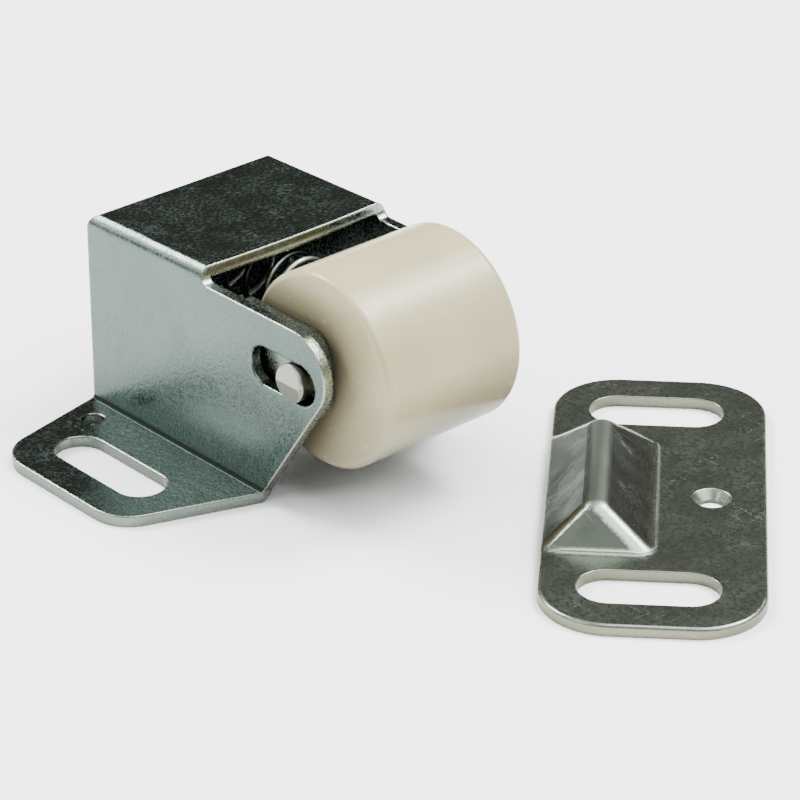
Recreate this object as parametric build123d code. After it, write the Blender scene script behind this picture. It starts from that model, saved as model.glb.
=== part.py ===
from build123d import *
from math import atan2, cos, degrees, pi, sin, sqrt, tan
import os

# Roller catch with its strike plate, in millimetres.
# The feet stand on z = 0, the roller looks towards -Y and its axle runs along X. Places are
# given from the rear edges of the housing walls, and the finished pieces are then moved so
# that the origin lies midway between the two small locating holes of the feet.
# The strike plate lies loose on the same surface.

# Sheet steel of the housing and of the sliding yoke
sheet = 1.1
fold_inside_radius = 0.25

# Roller and its axle
roller_diameter = 19.05
roller_length = 16.3
roller_rim_radius = 0.6
axle_back = 30.3
axle_below_top = 6.75
axle_diameter = 3.7
axle_running_fit = 0.07
axle_stand_out = 0.8
axle_end_chamfer = 0.3
axle_end_slope = 0.4
slide_back = 4.1
slide_forward = 0.9

# Sliding yoke that carries the axle
yoke_side_play = 0.5
yoke_roller_play = 0.5
yoke_web_play = 0.7
yoke_arm_height = 9.0
yoke_arm_front = 2.4
yoke_corner_radius = 3.0
yoke_bend_radius = 0.5
yoke_web_rise = 1.6
yoke_tab_width = 6.6
yoke_tab_rise = 3.9
yoke_notch_radius = 0.5
yoke_shoulder_radius = 1.0

# Housing
housing_height = 21.15
web_length = 17.2
web_rise = 0.45
web_sag = 0.2
ear_drop = 1.65
ear_nose_radius = 4.15
ear_nose_back = 30.4
wall_foot_front = 25.7
ear_notch_radius = 0.8
slot_edge_radius = 0.2
axle_slot_play = 0.1
back_wall_foot = 5.0
back_wall_slit = 0.35

# Feet of the housing
foot_reach = 13.65
foot_fold_radius = 0.35
foot_rear_rake = 2.95
foot_front_rake = 4.9
foot_rear_corner = 4.3
foot_front_corner = 4.4
foot_slot_width = 5.0
foot_slot_length = 14.2
foot_slot_from_wall = 7.55
foot_slot_centre = 12.2
locating_hole = 2.2
locating_from_wall = 2.95
locating_from_rear = 3.6

# Compression spring between back wall and yoke
spring_above_axle = 0.7
spring_wire = 0.65
spring_wire_sides = 12
spring_outside = 7.8
spring_active_turns = 5.25
spring_closed_turns = 1.0
spring_closed_gap = 0.03
spring_seat_gap = 0.02
spring_points_per_turn = 12
spring_first_turn = 0.5
boss_height = 0.9
boss_play = 0.35
boss_draft = 0.5

# Strike plate
strike_sheet = 1.1
strike_length = 47.0
strike_width = 20.55
strike_corner = 6.5
strike_edge_radius = 0.35
strike_slot_width = 5.85
strike_slot_length = 13.0
strike_slot_from_edge = 9.95
strike_slot_from_end = 6.7
strike_hole = 2.2
strike_hole_sink = 3.7
strike_hole_from_edge = 15.4
ridge_length = 22.4
ridge_foot_width = 10.4
ridge_overhang = 0.1
ridge_rise = 3.6
ridge_crest_from_edge = 4.9
ridge_crest_width = 1.5
ridge_end_run = 2.7
ridge_round = 2.0
ridge_foot_round = 1.2
ridge_inner_inset = 0.45
ridge_inner_crest_width = 0.8
ridge_inner_round = 0.7
strike_place_x = -8.73
strike_place_y = -59.27
strike_turn = -46.5

# Places worked out from the sizes above
edge_tolerance = 0.0001
arm_inside = roller_length / 2 + yoke_roller_play
arm_outside = arm_inside + sheet
half_inside = arm_outside + yoke_side_play
half_width = half_inside + sheet
half_feet = half_width + foot_reach
axle_height = housing_height - axle_below_top
spring_height = axle_height + spring_above_axle
fold_radius = fold_inside_radius + sheet
web_slope = atan2(web_rise, web_length)
ear_top = housing_height - ear_drop
ear_nose_height = ear_top - ear_nose_radius
ear_front = ear_nose_back + ear_nose_radius
yoke_web_front = axle_back - roller_diameter / 2 - yoke_web_play
yoke_web_rear = yoke_web_front - sheet
spring_inside_radius = spring_outside / 2 - spring_wire
closed_pitch = spring_wire + spring_closed_gap


def corner_at(sketch, across, up):
    """Corner of a flat outline nearest to a place given in the outline's own two directions."""
    return sketch.vertices().sort_by_distance((across, up, 0))[0]


def sagging_web(block, bottom_radius):
    """Hollow the top of a block by a wide arc about an axis that follows the web's slope."""
    centre_height = housing_height - web_sag + sag_radius()
    tool = Rot(90 - degrees(web_slope), 0, 0) * Cylinder(bottom_radius, 3 * ear_front)
    return block - Pos(0, -web_length, centre_height) * tool


def sag_radius():
    """Radius of the web's shallow hollow, from its depth and the flat between the folds."""
    half_chord = half_width - fold_radius
    return (half_chord**2 + web_sag**2) / (2 * web_sag)


def folded_block(half_x, rear, top, radius):
    """Block open towards the front, its top rising to the front, with side and rear folds rounded."""
    rear_top = top - (web_length - rear) * tan(web_slope)
    front_top = top + (ear_front - web_length) * tan(web_slope)
    with BuildSketch(Plane.YZ) as side:
        with BuildLine():
            Polyline((-rear, 0), (-rear, rear_top), (-ear_front, front_top), (-ear_front, 0), close=True)
        make_face()
    block = extrude(side.sketch, amount=half_x, both=True)
    folds = []
    for edge in block.edges():
        box = edge.bounding_box()
        if box.min.Z > rear_top - edge_tolerance and box.max.Y > -ear_front + edge_tolerance:
            folds.append(edge)
    return fillet(folds, radius)


def housing_shell():
    """Web, walls and back wall as one folded sheet, still full size in side view."""
    outer = folded_block(half_width, 0, housing_height, fold_radius)
    outer = sagging_web(outer, sag_radius())
    inner = folded_block(half_inside, sheet, housing_height - sheet, fold_inside_radius)
    inner = sagging_web(inner, sag_radius() + sheet)
    return outer - inner


def foot_fold(side):
    """Lower end of one wall and its foot, bent outwards at a small radius."""
    leg = 3 * sheet
    outside_bend = foot_fold_radius + sheet
    with BuildSketch(Plane.XZ) as profile:
        with BuildLine():
            Polyline(
                (side * half_inside, leg),
                (side * half_inside, 0),
                (side * half_feet, 0),
                (side * half_feet, sheet),
                (side * half_width, sheet),
                (side * half_width, leg),
                close=True,
            )
        make_face()
        fillet(corner_at(profile, side * half_inside, 0), outside_bend)
        fillet(corner_at(profile, side * half_width, sheet), foot_fold_radius)
    return extrude(profile.sketch, amount=ear_front)


def side_outline():
    """Outline of wall and ear in side view, extruded through the whole width."""
    foot_y = -wall_foot_front
    nose_y = -ear_nose_back
    reach_y = nose_y - foot_y
    reach_z = ear_nose_height - sheet
    span_squared = reach_y**2 + reach_z**2
    tangent = sqrt(span_squared - ear_nose_radius**2)
    along = tangent**2 / span_squared
    across = tangent * ear_nose_radius / span_squared
    touch_y = foot_y + along * reach_y - across * reach_z
    touch_z = sheet + along * reach_z + across * reach_y
    above = housing_height + sheet
    with BuildSketch(Plane.YZ) as outline:
        with BuildLine():
            Polyline(
                (nose_y, ear_top),
                (-web_length, ear_top),
                (-web_length, above),
                (sheet, above),
                (sheet, 0),
                (foot_y, 0),
                (foot_y, sheet),
                (touch_y, touch_z),
            )
            ThreePointArc((touch_y, touch_z), (-ear_front, ear_nose_height), (nose_y, ear_top))
        make_face()
        fillet(corner_at(outline, -web_length, ear_top), ear_notch_radius)
    return extrude(outline.sketch, amount=half_feet + sheet, both=True)


def plan_outline():
    """Outline of the two feet seen from above, with the housing between them."""
    rear_y = -foot_rear_rake
    front_y = foot_front_rake - wall_foot_front
    with BuildSketch() as outline:
        Rectangle(2 * half_width, ear_front, align=(Align.CENTER, Align.MAX))
        for side in (-1, 1):
            with BuildSketch(mode=Mode.PRIVATE) as foot:
                with BuildLine():
                    Polyline(
                        (side * half_inside, 0),
                        (side * half_width, 0),
                        (side * half_feet, rear_y),
                        (side * half_feet, front_y),
                        (side * half_width, -wall_foot_front),
                        (side * half_inside, -wall_foot_front),
                        close=True,
                    )
                make_face()
                fillet(corner_at(foot, side * half_feet, rear_y), foot_rear_corner)
                fillet(corner_at(foot, side * half_feet, front_y), foot_front_corner)
            add(foot.sketch)
    return extrude(outline.sketch, amount=2 * housing_height)


def foot_openings():
    """Screw slot and small locating hole of each foot, as cutting tools."""
    slot = Rot(0, 0, 90) * extrude(SlotOverall(foot_slot_length, foot_slot_width), amount=2 * sheet)
    hole = Cylinder(locating_hole / 2, 4 * sheet)
    slot_x = half_width + foot_slot_from_wall
    hole_x = half_width + locating_from_wall
    tools = []
    for side in (-1, 1):
        tools.append(Pos(side * slot_x, -foot_slot_centre, -sheet / 2) * slot)
        tools.append(Pos(side * hole_x, -locating_from_rear, 0) * hole)
    return tools


def axle_slot():
    """Slot of both ears, in which the axle travels backwards and a little forwards."""
    width = axle_diameter + 2 * axle_slot_play
    face = Plane.YZ * SlotOverall(slide_back + slide_forward + width, width)
    slot = extrude(face, amount=half_feet, both=True)
    return Pos(0, (slide_back - slide_forward) / 2 - axle_back, axle_height) * slot


def back_wall_cuts():
    """Slits that part the back wall from the side walls, and the clearance under it."""
    slit_x = half_inside - back_wall_slit / 2
    below = (Align.CENTER, Align.CENTER, Align.MIN)
    slit = Box(back_wall_slit, 3 * sheet, housing_height - fold_radius, align=below)
    clearance = Box(2 * half_inside, 3 * sheet, back_wall_foot, align=below)
    return [Pos(-slit_x, 0, 0) * slit, Pos(slit_x, 0, 0) * slit, clearance]


def spring_boss(direction):
    """Boss pressed out of the sheet inside a spring end, and the dimple left behind it."""
    base = spring_inside_radius - boss_play
    stand = (Align.CENTER, Align.CENTER, Align.MIN)
    boss = Cone(base, base - boss_draft, boss_height, align=stand)
    dimple = Cone(base - boss_draft, base - 2 * boss_draft, boss_height, align=stand)
    turn = Rot(-90 * direction, 0, 0)
    return turn * boss, turn * dimple


def make_housing():
    """Zinc-plated steel housing, stamped and folded in one piece."""
    body = housing_shell()
    body -= Box(2 * half_feet, 3 * ear_front, 6 * sheet)
    body = body + foot_fold(-1) + foot_fold(1)
    body = body & side_outline() & plan_outline()
    body -= [*foot_openings(), axle_slot(), *back_wall_cuts()]
    boss, dimple = spring_boss(-1)
    body += Pos(0, -sheet, spring_height) * boss
    body -= Pos(0, 0, spring_height) * dimple
    return soften_slots(body)


def soften_slots(body):
    """Round the outer edge of the axle slot in both ears, as the punch leaves it."""
    half_slot = axle_diameter / 2 + axle_slot_play
    edges = []
    for edge in body.edges():
        box = edge.bounding_box()
        outside = abs(abs(edge.center().X) - half_width) < edge_tolerance
        flat = box.max.X - box.min.X < edge_tolerance
        level = abs(edge.bounding_box().center().Z - axle_height) < half_slot + edge_tolerance
        if outside and flat and level and -ear_front < box.min.Y and box.max.Y < -web_length and box.size.Z <= 2 * half_slot + edge_tolerance:
            edges.append(edge)
    return fillet(edges, slot_edge_radius)


def make_yoke():
    """U-shaped steel yoke that slides between the walls and holds the axle."""
    front = axle_back + yoke_arm_front
    depth = front - yoke_web_rear
    bottom = axle_height - yoke_arm_height / 2
    align = (Align.CENTER, Align.MAX, Align.MIN)
    outer = Pos(0, -yoke_web_rear, bottom) * Box(2 * arm_outside, depth, yoke_arm_height, align=align)
    outer = fillet(outer.edges().filter_by(Axis.Z).group_by(Axis.Y)[-1], yoke_bend_radius + sheet)
    inner = Pos(0, -yoke_web_front, bottom) * Box(2 * arm_inside, depth, yoke_arm_height, align=align)
    inner = fillet(inner.edges().filter_by(Axis.Z).group_by(Axis.Y)[-1], yoke_bend_radius)
    body = (outer - inner) & yoke_outline(front, bottom)
    body += yoke_tab()
    body -= Pos(0, -axle_back, axle_height) * Rot(0, 90, 0) * Cylinder(axle_diameter / 2, 4 * half_width)
    boss, dimple = spring_boss(1)
    body += Pos(0, -yoke_web_rear, spring_height) * boss
    body -= Pos(0, -yoke_web_front, spring_height) * dimple
    return body


def yoke_tab():
    """Tab in the middle of the web, which backs the upper half of the spring."""
    tab = Box(yoke_tab_width, sheet, yoke_tab_rise, align=(Align.CENTER, Align.MAX, Align.MIN))
    top_corners = tab.edges().filter_by(Axis.Y).group_by(Axis.Z)[-1]
    return Pos(0, -yoke_web_rear, axle_height) * fillet(top_corners, yoke_shoulder_radius)


def yoke_outline(front, bottom):
    """Side view of the yoke: rounded arm ends, and a web lower than its arms."""
    top = bottom + yoke_arm_height
    web_top = axle_height + yoke_web_rise
    shoulder = yoke_web_front + yoke_bend_radius
    with BuildSketch(Plane.YZ) as outline:
        with BuildLine():
            Polyline(
                (-front, bottom),
                (-yoke_web_rear, bottom),
                (-yoke_web_rear, web_top),
                (-shoulder, web_top),
                (-shoulder, top),
                (-front, top),
                close=True,
            )
        make_face()
        rounds = [
            (-front, bottom, yoke_corner_radius),
            (-front, top, yoke_corner_radius),
            (-shoulder, web_top, yoke_notch_radius),
            (-shoulder, top, yoke_shoulder_radius),
        ]
        for y, z, radius in rounds:
            fillet(corner_at(outline, y, z), radius)
    return extrude(outline.sketch, amount=half_width, both=True)


def make_roller():
    """Nylon roller with rounded rims, bored to turn on the axle."""
    body = Cylinder(roller_diameter / 2, roller_length)
    body = fillet(body.edges().filter_by(GeomType.CIRCLE), roller_rim_radius)
    body -= Cylinder(axle_diameter / 2 + axle_running_fit, 2 * roller_length)
    return Pos(0, -axle_back, axle_height) * Rot(0, 90, 0) * body


def make_axle():
    """Steel axle pin, pressed into the yoke, with bevelled ends outside the ears."""
    body = Cylinder(axle_diameter / 2, 2 * (half_width + axle_stand_out))
    body = chamfer(body.edges().filter_by(GeomType.CIRCLE), axle_end_chamfer)
    body = Rot(0, 90, 0) * body & axle_cropping()
    return Pos(0, -axle_back, axle_height) * body


def axle_cropping():
    """Outline that leaves two sloping faces on each end of the axle, where it was cropped."""
    tip = half_width + axle_stand_out
    side = tip - axle_end_slope
    radius = axle_diameter / 2
    with BuildSketch(Plane.XZ) as outline:
        with BuildLine():
            Polyline(
                (tip, 0),
                (side, radius),
                (-side, radius),
                (-tip, 0),
                (-side, -radius),
                (side, -radius),
                close=True,
            )
        make_face()
    return extrude(outline.sketch, amount=radius, both=True)


def spring_advance(turns, active_pitch):
    """Distance along the spring's axis after some turns, with closed turns at both ends."""
    closing = min(turns, spring_closed_turns)
    working = min(max(turns - spring_closed_turns, 0), spring_active_turns)
    ending = max(turns - spring_closed_turns - spring_active_turns, 0)
    return (closing + ending) * closed_pitch + working * active_pitch


def make_spring():
    """Helical compression spring between the back wall and the yoke.

    The many turns repeat one section, so the wire has twelve flat sides.
    """
    total_turns = spring_active_turns + 2 * spring_closed_turns
    seat = sheet + spring_seat_gap + spring_wire / 2
    length = yoke_web_rear - spring_seat_gap - spring_wire / 2 - seat
    active_pitch = (length - 2 * spring_closed_turns * closed_pitch) / spring_active_turns
    radius = (spring_outside - spring_wire) / 2
    steps = round(total_turns * spring_points_per_turn)
    points = []
    for step in range(steps + 1):
        turns = total_turns * step / steps
        angle = 2 * pi * (turns + spring_first_turn)
        y = -seat - spring_advance(turns, active_pitch)
        points.append((radius * cos(angle), y, spring_height + radius * sin(angle)))
    path = Spline(points)
    wire = RegularPolygon(spring_wire / 2, spring_wire_sides)
    section = Plane(origin=path @ 0, z_dir=path % 0) * wire
    return sweep(section, path=path, is_frenet=True)


def ridge_form(inset, base, crest_width, crest_round):
    """Pressed hip-roof ridge: a long crest with two flanks and two sloping ends."""
    foot_width = ridge_foot_width - 2 * inset
    foot_length = ridge_length - 2 * inset
    foot_middle = ridge_foot_width / 2 - ridge_overhang
    foot = Pos(foot_middle, strike_length / 2, base) * Rectangle(foot_width, foot_length)
    crest = Rectangle(crest_width, foot_length - 2 * ridge_end_run)
    form = loft([foot, Pos(ridge_crest_from_edge, strike_length / 2, base + ridge_rise) * crest])
    upper_edges = form.edges().sort_by(Axis.Z)[4:]
    return fillet(upper_edges, crest_round)


def edges_at_sheet_top(body):
    """Edges that lie flat in the upper face of the strike plate's sheet."""
    found = []
    for edge in body.edges():
        box = edge.bounding_box()
        if abs(box.min.Z - strike_sheet) < edge_tolerance and abs(box.max.Z - strike_sheet) < edge_tolerance:
            found.append(edge)
    return found


def strike_block():
    """Sheet with the ridge pressed up, rounded where the ridge leaves the sheet."""
    stand = (Align.CENTER, Align.CENTER, Align.MIN)
    sheet_wider = Box(2 * strike_width, strike_length, strike_sheet, align=stand)
    body = Pos(strike_width / 2, strike_length / 2, 0) * sheet_wider
    body += ridge_form(0, strike_sheet, ridge_crest_width, ridge_round)
    ridge_limit = ridge_length / 2 + ridge_foot_round
    foot_edges = []
    for edge in edges_at_sheet_top(body):
        if abs(edge.center().Y - strike_length / 2) < ridge_limit and edge.length < ridge_length:
            foot_edges.append(edge)
    return fillet(foot_edges, ridge_foot_round)


def make_strike():
    """Zinc-plated steel strike plate with its pressed ridge, slots and countersunk hole."""
    outline = RectangleRounded(strike_width, strike_length, strike_corner)
    blank = extrude(outline, amount=strike_sheet + 2 * ridge_rise)
    body = strike_block() & Pos(strike_width / 2, strike_length / 2, 0) * blank
    rim = [edge for edge in edges_at_sheet_top(body) if edge.center().X > strike_edge_radius]
    body = fillet(rim, strike_edge_radius)
    body -= ridge_form(ridge_inner_inset, 0, ridge_inner_crest_width, ridge_inner_round)
    slot = extrude(SlotOverall(strike_slot_length, strike_slot_width), amount=2 * strike_sheet)
    for slot_y in (strike_slot_from_end, strike_length - strike_slot_from_end):
        body -= Pos(strike_slot_from_edge, slot_y, -strike_sheet / 2) * slot
    hole_place = Pos(strike_hole_from_edge, strike_length / 2, strike_sheet)
    body -= hole_place * CounterSinkHole(strike_hole / 2, strike_hole_sink / 2, 2 * strike_sheet)
    return Pos(strike_place_x, strike_place_y, 0) * Rot(0, 0, strike_turn) * body


os.makedirs("parts", exist_ok=True)
for name, solid in {
    "housing": make_housing(),
    "yoke": make_yoke(),
    "roller": make_roller(),
    "axle_pin": make_axle(),
    "spring": make_spring(),
    "strike_plate": make_strike(),
}.items():
    export_step(Pos(0, locating_from_rear, 0) * solid, f"parts/{name}.step")
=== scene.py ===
"""Roller catch with its strike plate: finishes, surroundings and camera.

The CAD nodes keep their meshes, apart from the spring: a joined copy of its
mesh stands for it. One piece is added, the line that the press leaves round
the foot of the strike's ridge.
"""

import logging
import math
from collections.abc import Iterable
from dataclasses import dataclass, field
from enum import Enum

import bmesh
import bpy
from mathutils import Matrix, Vector
from mathutils.bvhtree import BVHTree

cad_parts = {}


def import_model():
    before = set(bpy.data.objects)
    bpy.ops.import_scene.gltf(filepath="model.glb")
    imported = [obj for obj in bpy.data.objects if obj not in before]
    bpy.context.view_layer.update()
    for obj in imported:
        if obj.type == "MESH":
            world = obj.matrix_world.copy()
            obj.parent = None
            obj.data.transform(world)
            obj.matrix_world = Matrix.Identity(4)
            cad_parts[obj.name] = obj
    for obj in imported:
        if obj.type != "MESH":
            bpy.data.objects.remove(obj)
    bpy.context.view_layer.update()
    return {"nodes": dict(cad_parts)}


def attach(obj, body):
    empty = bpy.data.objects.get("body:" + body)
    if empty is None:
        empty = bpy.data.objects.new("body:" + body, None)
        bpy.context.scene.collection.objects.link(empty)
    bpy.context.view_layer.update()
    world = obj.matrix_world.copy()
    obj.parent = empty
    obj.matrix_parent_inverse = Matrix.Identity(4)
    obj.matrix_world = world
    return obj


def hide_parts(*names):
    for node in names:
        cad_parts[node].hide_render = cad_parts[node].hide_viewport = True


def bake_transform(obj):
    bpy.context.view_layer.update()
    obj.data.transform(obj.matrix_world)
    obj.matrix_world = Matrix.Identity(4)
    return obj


logging.basicConfig(level=logging.INFO, format="%(message)s")
log = logging.getLogger("roller_catch")

Colour = tuple[float, float, float]
Place = tuple[float, float, float]
Span = tuple[float, float]
Socket = bpy.types.NodeSocket
Tint = Colour | Socket

MM = 0.001
RANGE_LABELS = ("From Min", "From Max", "To Min", "To Max")
BEVEL_SAMPLES = 8
OPENNESS_SAMPLES = 6

# Each pair holds the value of a quantity that gives 0 and the one that gives 1.
# Of the open share of the half sphere over a place:
OUT_OF_CORNER: Span = (0.75, 0.95)
OUT_OF_RECESS: Span = (0.20, 0.50)
GRIT_SHOWS: Span = (0.25, 0.55)
# Of the upward part of a surface's direction, the last two without its sign:
OFF_UPRIGHT: Span = (0.03, 0.16)
OFF_LEVEL: Span = (0.995, 0.95)
TURNED_UP: Span = (0.02, 0.14)
UPRIGHT: Span = (0.45, 0.15)
OFF_FLAT_FACE: Span = (0.97, 0.93)
# Of the sideways part of a surface's direction, without its sign:
OFF_SIDE_WALL: Span = (0.30, 0.15)
# Of the cosine between the plain and the rounded normal:
ON_EDGE: Span = (0.995, 0.90)

CORNER_REACH = 2.5  # of the edges' radius
BELOW_FADE = 0.5  # millimetres
FRONT_FADE = 0.3  # millimetres


class Grain(Enum):
    """Direction in which the rolled sheet's fine lines run."""

    ALONG_X = (1.0, 14.0, 14.0)
    ALONG_Y = (14.0, 1.0, 14.0)


def of_type(sockets: Iterable[Socket], kind: str) -> list[Socket]:
    """Keep the sockets of one type."""
    return [socket for socket in sockets if socket.type == kind]


@dataclass
class NodeSheet:
    """A material's node tree, with short calls that add and join its nodes."""

    name: str
    tree: bpy.types.NodeTree = field(init=False)
    shader: bpy.types.Node = field(init=False)
    material: bpy.types.Material = field(init=False)

    def __post_init__(self) -> None:
        """Start the material with its surface shader."""
        self.material = bpy.data.materials.new(self.name)
        self.material.use_nodes = True
        self.tree = self.material.node_tree
        self.shader = next(n for n in self.tree.nodes if n.type == "BSDF_PRINCIPLED")

    def add(self, kind: str, **values: object) -> bpy.types.Node:
        """Add a node.

        Args:
            kind: Blender's name of the node type.
            values: settings of the node.

        Returns:
            The new node.
        """
        node = self.tree.nodes.new(kind)
        for key, value in values.items():
            setattr(node, key, value)
        return node

    def join(self, start: Socket, end: Socket) -> None:
        """Link one socket to another."""
        self.tree.links.new(start, end)

    def drive(self, label: str, value: Socket) -> None:
        """Give the shader a value that varies over the surface."""
        self.join(value, self.shader.inputs[label])

    def set_plain(self, label: str, value: object) -> None:
        """Give the shader a value that is the same all over."""
        self.shader.inputs[label].default_value = value

    def object_place(self, scale: Place = (1.0, 1.0, 1.0), turn: float = 0.0) -> Socket:
        """Place in the piece's own frame, in millimetres.

        Args:
            scale: stretch along each axis after the turn.
            turn: turn about the vertical axis, in radians.

        Returns:
            The socket that carries the place.
        """
        coordinates = self.add("ShaderNodeTexCoord")
        mapping = self.add("ShaderNodeMapping")
        mapping.inputs["Rotation"].default_value = (0.0, 0.0, turn)
        mapping.inputs["Scale"].default_value = tuple(s / MM for s in scale)
        self.join(coordinates.outputs["Object"], mapping.inputs["Vector"])
        return mapping.outputs["Vector"]

    def noise(self, place: Socket, scale: float, detail: float) -> Socket:
        """Smooth noise over a place, with a value of about 0 to 1.

        Args:
            place: socket with the place in millimetres.
            scale: waves per millimetre.
            detail: number of finer layers.

        Returns:
            The socket that carries the noise.
        """
        node = self.add("ShaderNodeTexNoise")
        node.inputs["Scale"].default_value = scale
        node.inputs["Detail"].default_value = detail
        self.join(place, node.inputs["Vector"])
        return node.outputs["Fac"]

    def ramp(
        self,
        value: Socket,
        low: float,
        high: float,
        start: float = 0.0,
        end: float = 1.0,
    ) -> Socket:
        """Stretch a range of values onto another one and hold it there.

        Args:
            value: socket with the value.
            low: value that gives start.
            high: value that gives end.
            start: result at low.
            end: result at high.

        Returns:
            The socket that carries the result.
        """
        node = self.add("ShaderNodeMapRange", clamp=True)
        self.join(value, node.inputs["Value"])
        for label, number in zip(RANGE_LABELS, (low, high, start, end)):
            node.inputs[label].default_value = number
        return node.outputs["Result"]

    def work_out(self, operation: str, first: Socket, second: Socket | float = 0.0) -> Socket:
        """Combine two values.

        Args:
            operation: Blender's name of the sum, such as MULTIPLY.
            first: socket with the first value.
            second: socket or number; ABSOLUTE leaves it unused.

        Returns:
            The socket that carries the result.
        """
        node = self.add("ShaderNodeMath", operation=operation)
        self.join(first, node.inputs[0])
        if isinstance(second, Socket):
            self.join(second, node.inputs[1])
        else:
            node.inputs[1].default_value = second
        return node.outputs[0]

    def times(self, first: Socket, second: Socket | float) -> Socket:
        """Multiply two values."""
        return self.work_out("MULTIPLY", first, second)

    def blend_colours(self, factor: Socket, first: Tint, second: Tint) -> Socket:
        """Mix two colours by a factor.

        Args:
            factor: socket with the share of the second colour.
            first: colour at 0, given or from a socket.
            second: colour at 1, given or from a socket.

        Returns:
            The socket that carries the colour.
        """
        node = self.add("ShaderNodeMix", data_type="RGBA")
        self.join(factor, node.inputs["Factor"])
        for socket, colour in zip(of_type(node.inputs, "RGBA"), (first, second)):
            if isinstance(colour, Socket):
                self.join(colour, socket)
            else:
                socket.default_value = (*colour, 1.0)
        return of_type(node.outputs, "RGBA")[0]

    def part_of(self, vector: Socket, axis: str) -> Socket:
        """The socket with the part of a vector along X, Y or Z."""
        parts = self.add("ShaderNodeSeparateXYZ")
        self.join(vector, parts.inputs[0])
        return parts.outputs[axis]

    def facing(self, axis: str) -> Socket:
        """The socket with the part of the surface's direction along an axis, from -1 to 1."""
        return self.part_of(self.add("ShaderNodeTexCoord").outputs["Normal"], axis)

    def facing_size(self, axis: str) -> Socket:
        """The socket with the same part without its sign."""
        return self.work_out("ABSOLUTE", self.facing(axis))

    def openness(self, reach: float, low: float, high: float) -> Socket:
        """How open a place lies, from 0 in a recess to 1 in the open.

        Args:
            reach: distance in metres within which other surfaces count.
            low: open share of the half sphere that gives 0.
            high: open share that gives 1.

        Returns:
            The socket that carries the openness.
        """
        node = self.add("ShaderNodeAmbientOcclusion", samples=OPENNESS_SAMPLES)
        node.inputs["Distance"].default_value = reach
        return self.ramp(node.outputs["AO"], low, high)

    def rounded_edges(self, radius: float) -> Socket:
        """Normal that rounds the sheared outer edges, but no inner corners.

        Args:
            radius: radius of the rounding in metres.

        Returns:
            The socket that carries the normal.
        """
        rounding = self.add("ShaderNodeBevel", samples=BEVEL_SAMPLES)
        rounding.inputs["Radius"].default_value = radius
        plain = self.add("ShaderNodeNewGeometry")
        node = self.add("ShaderNodeMix", data_type="VECTOR")
        self.join(self.openness(CORNER_REACH * radius, *OUT_OF_CORNER), node.inputs["Factor"])
        normals = (plain.outputs["Normal"], rounding.outputs["Normal"])
        for socket, normal in zip(of_type(node.inputs, "VECTOR")[-2:], normals):
            self.join(normal, socket)
        return of_type(node.outputs, "VECTOR")[0]

    def near_edge(self, rounded: Socket) -> Socket:
        """How close a place lies to a sheared edge.

        Args:
            rounded: normal with rounded edges.

        Returns:
            The socket with 1 on the edge and 0 away from it.
        """
        plain = self.add("ShaderNodeNewGeometry")
        product = self.add("ShaderNodeVectorMath", operation="DOT_PRODUCT")
        self.join(rounded, product.inputs[0])
        self.join(plain.outputs["Normal"], product.inputs[1])
        return self.ramp(product.outputs["Value"], *ON_EDGE)

    def cut_faces(self) -> Socket:
        """The socket with 1 on upright faces and 0 on flat ones."""
        return self.ramp(self.facing_size("Z"), *UPRIGHT)

    def facing_up(self) -> Socket:
        """The socket with 1 on faces that slope upwards and 0 on the others."""
        return self.ramp(self.facing("Z"), *TURNED_UP)

    def sloping(self) -> Socket:
        """The socket with 1 on faces that lean between level and upright."""
        upward = self.facing("Z")
        return self.times(self.ramp(upward, *OFF_UPRIGHT), self.ramp(upward, *OFF_LEVEL))

    def below(self, top: float) -> Socket:
        """The socket with 1 under a height in millimetres and 0 above it."""
        height = self.part_of(self.object_place(), "Z")
        return self.ramp(height, top, top + BELOW_FADE, 1.0, 0.0)

    def sheared_edges(self, front: float) -> Socket:
        """Edges along which the folded sheet was cut, on the side of the roller.

        Args:
            front: place along Y, in millimetres, in front of which the edges count.

        Returns:
            The socket with 1 on those edges.
        """
        across = self.ramp(self.facing_size("X"), *OFF_SIDE_WALL)
        leaning = self.ramp(self.facing_size("Z"), *OFF_FLAT_FACE)
        depth = self.part_of(self.object_place(), "Y")
        ahead = self.ramp(depth, front - FRONT_FADE, front, 1.0, 0.0)
        return self.times(across, self.times(leaning, ahead))

    def scratches(self, place: Socket, scale: float, width: float) -> Socket:
        """Thin broken lines where a stretched noise crosses its middle value.

        Args:
            place: socket with the stretched place in millimetres.
            scale: waves per millimetre.
            width: width of a line, as a range of the noise.

        Returns:
            The socket with 1 on the lines.
        """
        from_middle = self.work_out("SUBTRACT", self.noise(place, scale, 2.0), 0.5)
        return self.ramp(self.work_out("ABSOLUTE", from_middle), width, 0.0)

    def raise_surface(
        self,
        height: Socket,
        strength: float | Socket,
        depth: float,
        normal: Socket | None = None,
    ) -> Socket:
        """Turn a height into a normal.

        Args:
            height: socket with a height of 0 to 1.
            strength: share of the effect.
            depth: height of 1, in metres.
            normal: normal to start from.

        Returns:
            The socket that carries the normal.
        """
        node = self.add("ShaderNodeBump")
        node.inputs["Distance"].default_value = depth
        if isinstance(strength, Socket):
            self.join(strength, node.inputs["Strength"])
        else:
            node.inputs["Strength"].default_value = strength
        self.join(height, node.inputs["Height"])
        if normal is not None:
            self.join(normal, node.inputs["Normal"])
        return node.outputs["Normal"]


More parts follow.
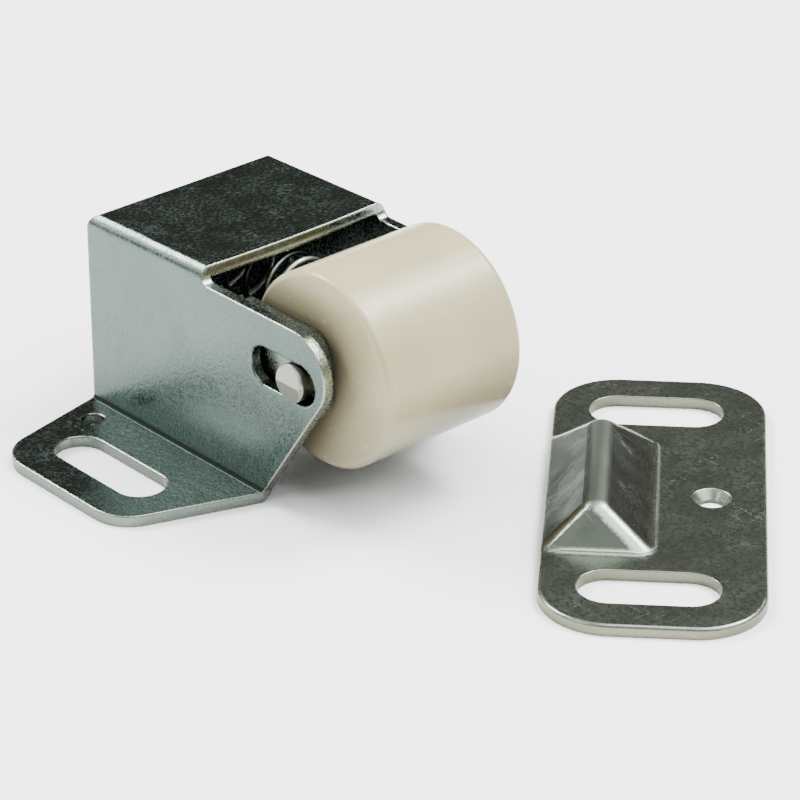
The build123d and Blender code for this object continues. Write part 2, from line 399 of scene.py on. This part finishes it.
@dataclass(frozen=True)
class ZincPlate:
    """Bright zinc plating over rolled and stamped sheet.

    Waves are per millimetre, heights in millimetres, and depths, radii and
    reaches in metres.
    """

    name: str
    light: Colour = (0.098, 0.130, 0.119)
    dull: Colour = (0.089, 0.120, 0.109)
    # painted highlight: pale colour along the rounded sheared edges
    edge: Colour = (0.270, 0.285, 0.235)
    # painted shade: dark colour laid into recesses and into the crease over the feet
    recess: Colour = (0.020, 0.028, 0.024)
    cut: Colour | None = None
    # painted highlight: lighter colour for faces that slope upwards
    upper: Colour | None = None
    sheared: Colour = (0.160, 0.190, 0.165)
    sheared_top: float = 0.9
    # painted highlight: bright colour on the sheared front edges of the ears
    cut_highlight: Colour = (0.270, 0.295, 0.245)
    ears_from: float = -1.0
    crease_top: float | None = None
    crease_roughness: float = 0.85
    roughness: float = 0.17
    spot_roughness: float = 0.46
    polish: float | None = None
    crest_roughness: float = 0.42
    crest_facing: Span = (0.80, 0.97)
    ridge_foot: float = 1.2
    grain: Grain = Grain.ALONG_X
    turn: float = 0.0
    edge_radius: float = 0.00034
    shade_reach: float = 0.012
    cloud_waves: float = 0.16
    cloud_tones: Span = (0.36, 0.64)
    patch_waves: float = 0.30
    patch_tones: Span = (0.38, 0.62)
    patch_least: float = 0.45
    grit_waves: float = 3.2
    grit_tones: Span = (0.38, 0.68)
    grit_depth: float = 0.000034
    line_waves: float = 0.5
    line_share: float = 0.25
    dent_waves: float = 0.20
    wave_depth: float = 0.0
    scratch_waves: float = 0.30
    scratch_width: float = 0.004
    scratch_depth: float = 0.000004
    scratched_clouds: Span = (0.50, 0.64)

    def crease(self, sheet: NodeSheet) -> Socket:
        """The socket with 1 in the inner corner over the feet."""
        return sheet.times(sheet.sloping(), sheet.below(self.crease_top))

    def colour(self, sheet: NodeSheet, clouds: Socket, rounded: Socket) -> Socket:
        """Colour of the plating: two close tones, a painted highlight on edges, painted shade in
        the crease and recesses.

        Args:
            sheet: the material's nodes.
            clouds: slow noise that parts the two tones.
            rounded: normal with rounded edges.

        Returns:
            The socket that carries the colour.
        """
        tones = sheet.ramp(clouds, *self.cloud_tones)
        zinc = sheet.blend_colours(tones, self.light, self.dull)
        if self.cut is not None:
            zinc = sheet.blend_colours(sheet.cut_faces(), zinc, self.cut)
        # painted highlight: faces that slope upwards get a lighter colour
        if self.upper is not None:
            zinc = sheet.blend_colours(sheet.facing_up(), zinc, self.upper)
        # painted highlight along the rounded edges
        zinc = sheet.blend_colours(sheet.near_edge(rounded), zinc, self.edge)
        if self.crease_top is not None:
            low_cuts = sheet.times(sheet.cut_faces(), sheet.below(self.sheared_top))
            zinc = sheet.blend_colours(low_cuts, zinc, self.sheared)
            # painted highlight on the ears' sheared front edges
            zinc = sheet.blend_colours(sheet.sheared_edges(self.ears_from), zinc, self.cut_highlight)
            # painted shade in the inner corner over the feet
            zinc = sheet.blend_colours(self.crease(sheet), zinc, self.recess)
        # painted shade: the colour goes dark where other surfaces lie close
        in_open = sheet.openness(self.shade_reach, *OUT_OF_RECESS)
        return sheet.blend_colours(in_open, self.recess, zinc)

    def gloss(self, sheet: NodeSheet, even: Socket, grit: Socket) -> Socket:
        """Roughness of the plating: dull spots in patches, a polished ridge and a dull crease.

        Args:
            sheet: the material's nodes.
            even: place without a stretch.
            grit: fine noise of the plating.

        Returns:
            The socket that carries the roughness.
        """
        patch_noise = sheet.noise(even, self.patch_waves, 5.0)
        patches = sheet.ramp(patch_noise, *self.patch_tones, self.patch_least, 1.0)
        spots = sheet.times(sheet.ramp(grit, *self.grit_tones), patches)
        rough = sheet.ramp(spots, 0.0, 1.0, self.roughness, self.spot_roughness)
        if self.polish is not None:
            plate = sheet.below(self.ridge_foot)
            upward = sheet.facing("Z")
            ridge = sheet.ramp(upward, *self.crest_facing, self.polish, self.crest_roughness)
            ridge = sheet.times(sheet.ramp(plate, 0.0, 1.0, 1.0, 0.0), ridge)
            rough = sheet.work_out("ADD", sheet.times(rough, plate), ridge)
        if self.crease_top is not None:
            dull_crease = sheet.times(self.crease(sheet), self.crease_roughness)
            rough = sheet.work_out("MAXIMUM", rough, dull_crease)
        return rough

    def marks(self, sheet: NodeSheet, clouds: Socket) -> Socket:
        """Two families of crossing scratches, in some places only.

        Args:
            sheet: the material's nodes.
            clouds: slow noise that says where they show.

        Returns:
            The socket with 1 on the scratches.
        """
        across = sheet.object_place(scale=(3.0, 0.20, 1.0), turn=self.turn + 0.7)
        along = sheet.object_place(scale=(0.24, 3.2, 1.0), turn=self.turn - 0.25)
        first, second = (
            sheet.scratches(place, self.scratch_waves, self.scratch_width)
            for place in (across, along)
        )
        where = sheet.ramp(clouds, *self.scratched_clouds)
        return sheet.times(sheet.work_out("MAXIMUM", first, second), where)

    def material(self) -> bpy.types.Material:
        """Build the plating's material."""
        sheet = NodeSheet(self.name)
        even = sheet.object_place(turn=self.turn)
        drawn = sheet.object_place(scale=self.grain.value, turn=self.turn)
        clouds = sheet.noise(even, self.cloud_waves, 5.0)
        grit = sheet.noise(even, self.grit_waves, 6.0)
        lines = sheet.noise(drawn, self.line_waves, 3.0)
        normal = sheet.rounded_edges(self.edge_radius)
        sheet.drive("Base Color", self.colour(sheet, clouds, normal))
        sheet.drive("Roughness", self.gloss(sheet, even, grit))
        if self.wave_depth > 0.0:
            dents = sheet.noise(even, self.dent_waves, 1.0)
            normal = sheet.raise_surface(dents, 1.0, self.wave_depth, normal)
        fine = sheet.work_out("ADD", grit, sheet.times(lines, self.line_share))
        in_open = sheet.openness(self.shade_reach, *GRIT_SHOWS)
        normal = sheet.raise_surface(fine, in_open, self.grit_depth, normal)
        marks = self.marks(sheet, clouds)
        sheet.drive("Normal", sheet.raise_surface(marks, 1.0, self.scratch_depth, normal))
        sheet.set_plain("Metallic", 1.0)
        return sheet.material


@dataclass(frozen=True)
class NylonFinish:
    """Moulded natural nylon with a slight sheen and a few rub marks."""

    name: str
    light: Colour = (0.372, 0.330, 0.194)
    dull: Colour = (0.338, 0.298, 0.174)
    shaded: Colour = (0.085, 0.074, 0.048)
    paler: float = 1.12
    roughness: float = 0.21
    smoother: float = 0.05
    rougher: float = 0.07
    shade_reach: float = 0.016
    shade: Span = (0.22, 1.0)
    cloud_tones: Span = (0.35, 0.7)
    ring_tones: Span = (0.3, 0.7)
    rubbed_places: Span = (0.50, 0.66)
    rub_width: float = 0.014
    rub_colour: float = 0.3
    rub_roughness: float = 0.15
    rub_height: float = 0.8
    grain_depth: float = 0.000003

    def material(self) -> bpy.types.Material:
        """Build the nylon's material."""
        sheet = NodeSheet(self.name)
        even = sheet.object_place()
        around = sheet.object_place(scale=(9.0, 1.0, 1.0))
        rubbed = sheet.object_place(scale=(0.35, 2.6, 2.6), turn=0.06)
        clouds = sheet.noise(even, 0.18, 3.0)
        fine = sheet.noise(even, 5.0, 3.0)
        rings = sheet.noise(around, 0.6, 3.0)
        where = sheet.ramp(sheet.noise(even, 0.22, 2.0), *self.rubbed_places)
        marks = sheet.times(sheet.scratches(rubbed, 0.42, self.rub_width), where)

        tones = sheet.ramp(clouds, *self.cloud_tones)
        body = sheet.blend_colours(tones, self.light, self.dull)
        pale = tuple(min(self.paler * channel, 1.0) for channel in self.light)
        body = sheet.blend_colours(sheet.times(marks, self.rub_colour), body, pale)
        in_open = sheet.openness(self.shade_reach, *self.shade)
        sheet.drive("Base Color", sheet.blend_colours(in_open, self.shaded, body))

        least, most = self.roughness - self.smoother, self.roughness + self.rougher
        rough = sheet.ramp(rings, *self.ring_tones, least, most)
        rubs = sheet.times(marks, self.rub_roughness)
        sheet.drive("Roughness", sheet.work_out("ADD", rough, rubs))

        grain = sheet.work_out("ADD", fine, rings)
        height = sheet.work_out("SUBTRACT", grain, sheet.times(marks, self.rub_height))
        sheet.drive("Normal", sheet.raise_surface(height, 0.5, self.grain_depth))
        sheet.set_plain("Specular IOR Level", 0.29)
        sheet.set_plain("Subsurface Weight", 0.08)
        sheet.set_plain("Subsurface Radius", (0.0010, 0.0008, 0.0006))
        return sheet.material


@dataclass(frozen=True)
class SpringWire:
    """Drawn spring wire with a thin plating."""

    name: str
    colour: Colour = (0.28, 0.30, 0.28)
    # painted shade: near-black colour between the coils and against the walls
    shade_colour: Colour = (0.03, 0.035, 0.032)
    darker: float = 0.7
    shade_reach: float = 0.010
    shade: Span = (0.15, 0.60)
    streak_waves: float = 1.4
    streak_depth: float = 0.000006
    roughness: Span = (0.24, 0.38)

    def material(self) -> bpy.types.Material:
        """Build the wire's material."""
        sheet = NodeSheet(self.name)
        streaks = sheet.noise(sheet.object_place(), self.streak_waves, 4.0)
        dark = tuple(self.darker * channel for channel in self.colour)
        wire = sheet.blend_colours(sheet.ramp(streaks, 0.35, 0.65), self.colour, dark)
        # painted shade where other surfaces lie close
        in_open = sheet.openness(self.shade_reach, *self.shade)
        sheet.drive("Base Color", sheet.blend_colours(in_open, self.shade_colour, wire))
        sheet.drive("Roughness", sheet.ramp(streaks, 0.3, 0.7, *self.roughness))
        sheet.drive("Normal", sheet.raise_surface(streaks, 0.4, self.streak_depth))
        sheet.set_plain("Metallic", 1.0)
        return sheet.material


def new_object(name: str, data: bpy.types.ID) -> bpy.types.Object:
    """Make an object around its data and put it in the scene.

    Args:
        name: name of the object.
        data: its mesh, light or camera.

    Returns:
        The new object.
    """
    thing = bpy.data.objects.new(name, data)
    bpy.context.scene.collection.objects.link(thing)
    return thing


def piece_from(mesh: bmesh.types.BMesh, name: str) -> bpy.types.Object:
    """Turn a finished bmesh into a piece of the scene.

    Args:
        mesh: the bmesh, which is freed.
        name: name of the piece.

    Returns:
        The new piece.
    """
    data = bpy.data.meshes.new(name)
    mesh.to_mesh(data)
    mesh.free()
    return new_object(name, data)


def dress(piece: bpy.types.Object, material: bpy.types.Material) -> None:
    """Give a piece one material in every slot.

    Args:
        piece: the piece.
        material: its finish.
    """
    if not piece.material_slots:
        piece.data.materials.append(material)
    for place in piece.material_slots:
        place.material = material
    log.info("%s: finish %s", piece.name, material.name)


@dataclass
class Bracket:
    """The folded housing with the yoke, spring and axle that it holds."""

    nodes: dict[str, bpy.types.Object]
    foot_crease_top: float = 3.0
    weld_distance: float = 0.001
    wire_edge_angle: float = 0.7

    def build(self) -> None:
        """Dress each steel piece of the bracket."""
        housing = ZincPlate("zinc_bracket", crease_top=self.foot_crease_top)
        dress(self.nodes["housing"], housing.material())
        yoke = ZincPlate(
            "zinc_yoke",
            light=(0.170, 0.210, 0.190),
            dull=(0.150, 0.188, 0.170),
            # painted shade in the yoke's recesses
            recess=(0.050, 0.062, 0.054),
            roughness=0.22,
            grain=Grain.ALONG_Y,
            grit_depth=0.000010,
        )
        dress(self.nodes["yoke"], yoke.material())
        pin = ZincPlate(
            "zinc_pin",
            light=(0.17, 0.16, 0.14),
            dull=(0.125, 0.118, 0.10),
            # painted highlight along the pin's edges
            edge=(0.26, 0.26, 0.19),
            # painted shade in the pin's recesses
            recess=(0.05, 0.05, 0.045),
            # painted highlight on the pin's upward-sloping faces
            upper=(0.31, 0.297, 0.26),
            roughness=0.30,
            spot_roughness=0.45,
            grit_depth=0.000045,
        )
        dress(self.nodes["axle_pin"], pin.material())
        dress(self.coil_spring(), SpringWire("spring_wire").material())

    def coil_spring(self) -> bpy.types.Object:
        """Make the spring one joined mesh, smooth across the wire's sides.

        Returns:
            The new piece, which stands for the CAD node.
        """
        mesh = bmesh.new()
        mesh.from_mesh(self.nodes["spring"].data)
        bmesh.ops.remove_doubles(mesh, verts=mesh.verts[:], dist=self.weld_distance * MM)
        for face in mesh.faces:
            face.smooth = True
        for edge in mesh.edges:
            edge.smooth = edge.calc_face_angle(0.0) < self.wire_edge_angle
        coil = piece_from(mesh, "coil_spring")
        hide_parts("spring")
        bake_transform(coil)
        return coil


@dataclass
class RollerWheel:
    """The nylon roller on its axle."""

    nodes: dict[str, bpy.types.Object]

    def build(self) -> None:
        """Dress the roller."""
        dress(self.nodes["roller"], NylonFinish("nylon").material())


@dataclass
class StrikePlate:
    """The loose strike plate with its pressed ridge, in millimetres."""

    nodes: dict[str, bpy.types.Object]
    turn: float = math.radians(46.5)
    place: Span = (-8.73, -55.67)
    line_left: float = 0.45
    line_right: float = 10.42
    line_near: float = 12.40
    line_far: float = 34.60
    line_corner: float = 1.9
    line_width: float = 0.30
    line_height: float = 0.14
    line_sink: float = 0.02
    near_step: float = 0.25
    near_points: int = 33
    corner_steps: int = 16
    side_steps: int = 48
    fade_steps: int = 6
    width_steps: int = 5
    probe_height: float = 20.0

    def build(self) -> None:
        """Dress the strike plate and add the crisp line round the foot of its ridge."""
        plate = ZincPlate(
            "zinc_strike",
            light=(0.205, 0.232, 0.200),
            dull=(0.172, 0.198, 0.168),
            # painted highlight along the strike plate's rounded edges
            edge=(0.285, 0.295, 0.220),
            cut=(0.190, 0.195, 0.140),
            roughness=0.27,
            spot_roughness=0.38,
            turn=self.turn,
            edge_radius=0.00016,
            grit_depth=0.000015,
            scratch_depth=0.000006,
            wave_depth=0.000110,
            polish=0.17,
        )
        dress(self.nodes["strike_plate"], plate.material())
        line = self.foot_line()
        # The bead's shape is the line the press leaves; its pale colour is a painted highlight
        # along it.
        bead = ZincPlate(
            "zinc_line",
            light=(0.42, 0.44, 0.36),
            dull=(0.34, 0.36, 0.30),
            roughness=0.28,
            edge_radius=0.00002,
            grit_depth=0.000002,
        )
        dress(line, bead.material())
        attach(line, "catch_body")

    def line_points(self) -> list[Vector]:
        """Middle of the line round the ridge's foot, in the plate's own frame in millimetres."""
        left, right = self.line_left, self.line_right
        near, corner = self.line_near, self.line_corner
        points = [Vector((left + self.near_step * k, near)) for k in range(self.near_points)]
        for y, start in ((near + corner, -90.0), (self.line_far - corner, 0.0)):
            for k in range(self.corner_steps + 1):
                angle = math.radians(start + 90.0 * k / self.corner_steps)
                x = right - corner + corner * math.cos(angle)
                points.append(Vector((x, y + corner * math.sin(angle))))
            if start < 0.0:
                span = self.line_far - near - 2 * corner
                steps = self.side_steps
                points += [Vector((right, y + span * k / steps)) for k in range(1, steps)]
        return [point for point in points if point.y < self.line_far - 0.3 * corner]

    def foot_line(self) -> bpy.types.Object:
        """Raise a low bead along the line, seated on the plate's upper side.

        Returns:
            The new piece.
        """
        depsgraph = bpy.context.evaluated_depsgraph_get()
        surface = BVHTree.FromObject(self.nodes["strike_plate"], depsgraph)
        points = self.line_points()
        turned = Matrix.Rotation(-self.turn, 2)
        base = Vector(self.place)
        down = Vector((0.0, 0.0, -1.0))
        last = len(points) - 1
        mesh = bmesh.new()
        grid = bmesh.ops.create_grid(mesh, x_segments=last, y_segments=self.width_steps, size=0.5)
        for vertex in grid["verts"]:
            index, share = round((vertex.co.x + 0.5) * last), vertex.co.y
            ahead = points[min(index + 1, last)] - points[max(index - 1, 0)]
            side = Vector((ahead.y, -ahead.x)).normalized()
            fade = min(1.0, index / self.fade_steps, (last - index) / self.fade_steps)
            flat = turned @ (points[index] + side * share * self.line_width)
            probe = Vector((base.x + flat.x, base.y + flat.y, self.probe_height)) * MM
            hit = surface.ray_cast(probe, down)[0]
            rise = self.line_height * fade * math.cos(math.pi * share) - self.line_sink
            vertex.co = hit + Vector((0.0, 0.0, rise * MM))
        for face in mesh.faces:
            face.smooth = True
        if sum(face.normal.z for face in mesh.faces) < 0.0:
            bmesh.ops.reverse_faces(mesh, faces=mesh.faces[:])
        return piece_from(mesh, "ridge_foot_line")


@dataclass(frozen=True)
class Lamp:
    """One soft rectangular light that faces the object, in metres and watts."""

    name: str
    place: Place
    size: Span
    power: float
    aim: Place = (0.0, -0.02, 0.01)

    def hang(self) -> None:
        """Hang the light in its place."""
        data = bpy.data.lights.new(self.name, "AREA")
        data.shape = "RECTANGLE"
        data.size, data.size_y = self.size
        data.energy = self.power
        turn = (Vector(self.aim) - Vector(self.place)).to_track_quat("-Z", "Y")
        lamp = new_object(self.name, data)
        lamp.matrix_world = Matrix.Translation(self.place) @ turn.to_matrix().to_4x4()


LAMPS = (
    Lamp("key", (0.62, -0.27, 1.03), (0.45, 0.45), 15.5),
    Lamp("strip", (0.71, -0.09, 0.98), (0.60, 0.04), 3.5),
    Lamp("fold light", (-0.22, 0.84, 0.88), (0.62, 0.44), 28.0),
    Lamp("back left card", (-0.54, 0.98, 0.48), (0.50, 0.46), 3.8),
    Lamp("left light", (-0.95, 0.06, 0.74), (0.34, 0.34), 4.0),
)


@dataclass
class Studio:
    """Pale floor, soft lights and the camera."""

    camera_place: Place = (-199.00, -250.91, 166.08)
    camera_forward: Place = (0.59026, 0.65981, -0.46503)
    lens: float = 163.83
    sensor_width: float = 36.0
    clip_start: float = 0.01
    upward: Place = (0.0, 0.0, 1.0)
    light_at_horizon: float = 0.45
    light_overhead: float = 1.0
    dark_side: Place = (0.680, 0.580, 0.450)
    dark_range: Span = (0.62, 0.93)
    dark_share: float = 0.23
    dark_tint: Colour = (0.80, 0.74, 0.58)
    light_tint: Colour = (0.97, 1.0, 0.985)
    soft_side: Place = (0.250, -0.350, 0.903)
    soft_range: Span = (0.75, 0.92)
    soft_light: float = 6.5
    floor_size: float = 6.0
    floor_drop: float = 0.05
    floor_colour: Colour = (0.90, 0.90, 0.90)

    def build(self) -> None:
        """Set up the whole studio."""
        self.camera()
        self.floor()
        self.surroundings()
        for lamp in LAMPS:
            lamp.hang()

    def camera(self) -> None:
        """Place the camera as in the photograph."""
        data = bpy.data.cameras.new("camera")
        data.lens = self.lens
        data.sensor_width = self.sensor_width
        data.clip_start = self.clip_start
        eye = Vector(self.camera_place) * MM
        turn = Vector(self.camera_forward).to_track_quat("-Z", "Y")
        camera = new_object("camera", data)
        camera.matrix_world = Matrix.Translation(eye) @ turn.to_matrix().to_4x4()
        bpy.context.scene.camera = camera

    def floor(self) -> None:
        """Lay the pale floor just under the object, so that their faces don't fight."""
        place = (0.0, 0.0, -self.floor_drop * MM)
        bpy.ops.mesh.primitive_plane_add(size=self.floor_size, location=place)
        ground = bpy.context.object
        ground.name = "floor"
        sheet = NodeSheet("pale_floor")
        sheet.set_plain("Base Color", (*self.floor_colour, 1.0))
        sheet.set_plain("Roughness", 0.9)
        sheet.set_plain("Specular IOR Level", 0.2)
        ground.data.materials.append(sheet.material)

    def surroundings(self) -> None:
        """Set the room's light: soft overhead, with a dark side behind the object to the right."""
        world = bpy.data.worlds.new("room")
        world.use_nodes = True
        bpy.context.scene.world = world
        tree = world.node_tree
        background = next(n for n in tree.nodes if n.type == "BACKGROUND")
        direction = tree.nodes.new("ShaderNodeTexCoord").outputs["Generated"]

        def share(axis: Place, nearness: Span, light: Span) -> Socket:
            """Light that changes with the direction's nearness to an axis."""
            product = tree.nodes.new("ShaderNodeVectorMath")
            product.operation = "DOT_PRODUCT"
            product.inputs[1].default_value = axis
            tree.links.new(direction, product.inputs[0])
            fade = tree.nodes.new("ShaderNodeMapRange")
            fade.interpolation_type = "SMOOTHSTEP"
            for label, number in zip(RANGE_LABELS, (*nearness, *light)):
                fade.inputs[label].default_value = number
            tree.links.new(product.outputs["Value"], fade.inputs["Value"])
            return fade.outputs["Result"]

        def combine(operation: str, first: Socket, second: Socket) -> Socket:
            """Combine two lights."""
            node = tree.nodes.new("ShaderNodeMath")
            node.operation = operation
            tree.links.new(first, node.inputs[0])
            tree.links.new(second, node.inputs[1])
            return node.outputs[0]

        sky = share(self.upward, (0.0, 1.0), (self.light_at_horizon, self.light_overhead))
        side = share(self.dark_side, self.dark_range, (1.0, self.dark_share))
        soft = share(self.soft_side, self.soft_range, (0.0, self.soft_light))
        light = combine("ADD", combine("MULTIPLY", sky, side), soft)
        tree.links.new(light, background.inputs["Strength"])
        tint = tree.nodes.new("ShaderNodeMix")
        tint.data_type = "RGBA"
        tree.links.new(side, tint.inputs["Factor"])
        for socket, colour in zip(of_type(tint.inputs, "RGBA"), (self.dark_tint, self.light_tint)):
            socket.default_value = (*colour, 1.0)
        tree.links.new(of_type(tint.outputs, "RGBA")[0], background.inputs["Color"])


def main() -> None:
    """Build the whole scene around the loaded model."""
    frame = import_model()
    Studio().build()
    nodes = frame["nodes"]
    for part in (Bracket(nodes), RollerWheel(nodes), StrikePlate(nodes)):
        part.build()
        log.info("%s done", type(part).__name__)


if __name__ == "__main__":
    main()
